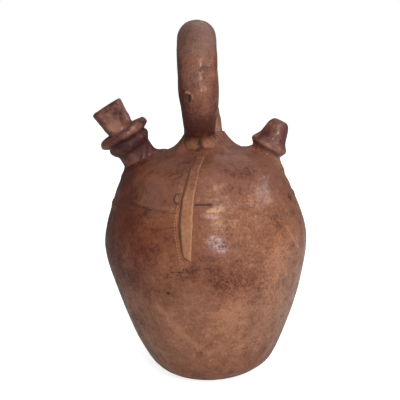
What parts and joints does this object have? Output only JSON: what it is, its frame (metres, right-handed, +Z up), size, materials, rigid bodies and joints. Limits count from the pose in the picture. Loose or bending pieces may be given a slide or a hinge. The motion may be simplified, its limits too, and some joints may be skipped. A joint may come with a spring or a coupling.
{
  "type": "water jug",
  "caption": "Leather-covered clay drinking jug with a stoppered filler neck, a narrow drinking spout and a ring handle on top.",
  "frame": {"origin": "centre of the base, on the surface the jug stands on", "axes": "+Z up, filler neck towards -X, drinking spout towards +X, handle ring in the YZ plane, front towards -Y"},
  "size_m": [0.1874, 0.186, 0.3195],
  "materials": {
    "fired_clay": "matt, unglazed",
    "belly_hide": "satin pebbled grain, mottled",
    "shoulder_hide": "satin pebbled grain, darkened by handling",
    "neck_hide": "satin, dark in the folds",
    "raw_edge_hide": "abraded, dry",
    "stopper_wood": "bare"
  },
  "bodies": {
    "vessel": {"clay_bowl": "fired_clay", "clay_dome": "fired_clay", "clay_filler_neck": "fired_clay", "clay_spout": "fired_clay", "clay_handle": "fired_clay", "belly_leather": "belly_hide", "shoulder_leather": "shoulder_hide", "base_leather": "belly_hide", "front_dart_strip": "raw_edge_hide", "rear_dart_strip": "raw_edge_hide", "filler_neck_leather": "neck_hide", "spout_leather": "neck_hide", "handle_leather": "shoulder_hide"},
    "stopper": {"stopper_core": "stopper_wood", "stopper_leather": "neck_hide", "stopper_top_leather": "neck_hide"}
  },
  "joints": [
    {"name": "stopper_pull", "type": "slide", "parent": "vessel", "child": "stopper", "axis": [-0.4695, -0.077, 0.8796], "range_m": [0, 0.06]}
  ]
}
